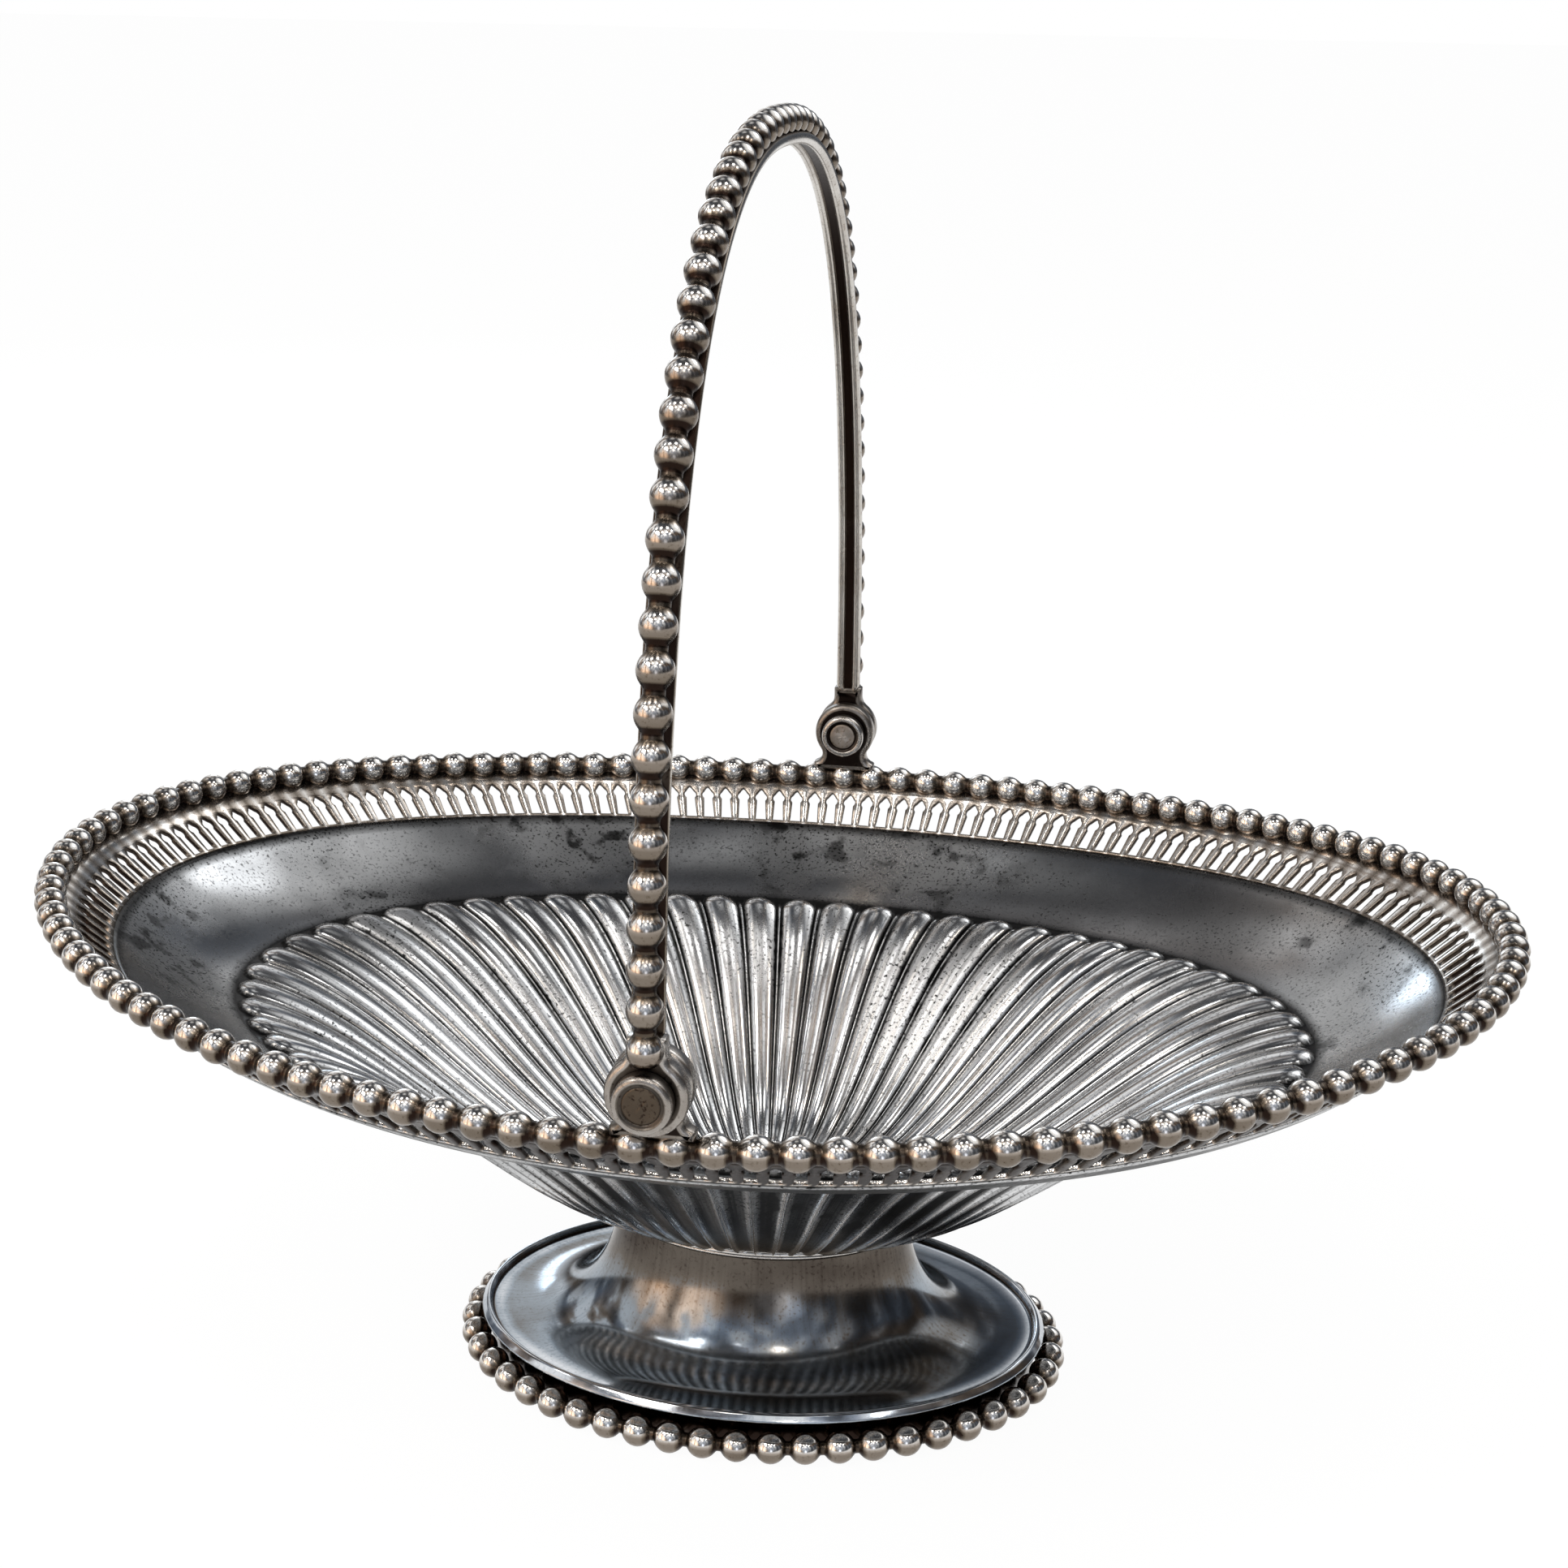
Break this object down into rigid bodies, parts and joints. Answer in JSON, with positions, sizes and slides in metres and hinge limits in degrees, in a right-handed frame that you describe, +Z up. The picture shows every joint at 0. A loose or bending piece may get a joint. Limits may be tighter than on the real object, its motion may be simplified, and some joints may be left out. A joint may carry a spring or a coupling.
{
  "type": "bread basket",
  "caption": "Oval silver bread basket on a trumpet foot, with a fluted bowl, a pierced gallery, beaded borders and an arched swing handle.",
  "frame": {"origin": "on the table plane, under the middle of the oval foot", "axes": "+X along the length of the oval, +Y across it along the hinge axis, +Z up"},
  "size_m": [0.3062, 0.2346, 0.2632],
  "materials": {
    "bowl_silver": "worn polished silver plate, darkened between the flutes",
    "gallery_silver": "polished silver plate, darkened round the slots",
    "bead_silver": "bright polished silver plate, dark between the beads",
    "moulding_silver": "darkened silver plate",
    "foot_silver": "mirror polished silver plate with fine scratches",
    "hinge_silver": "satin silver plate",
    "pin_silver": "dull silver plate",
    "strip_silver": "polished silver plate, dark in the groove"
  },
  "bodies": {
    "basket": {"basket_bowl": "bowl_silver", "pierced_gallery": "gallery_silver", "rim_bead_border": "bead_silver", "bowl_collar": "moulding_silver", "pedestal_foot": "foot_silver", "foot_bead_border": "bead_silver", "hinge_lug_front": "hinge_silver", "hinge_lug_rear": "hinge_silver", "hinge_pin_front": "pin_silver", "hinge_pin_rear": "pin_silver", "outer_washer_front": "hinge_silver", "outer_washer_rear": "hinge_silver", "inner_washer_front": "hinge_silver", "inner_washer_rear": "hinge_silver"},
    "handle": {"handle_bead_strip": "bead_silver", "handle_inner_strip": "strip_silver", "handle_eye_front": "hinge_silver", "handle_eye_rear": "hinge_silver"}
  },
  "joints": [
    {"name": "handle_swing", "type": "hinge", "parent": "basket", "child": "handle", "pos_m": [0, 0, 0.1089], "axis": [0, 1, 0], "range_deg": [-86, 86]}
  ]
}
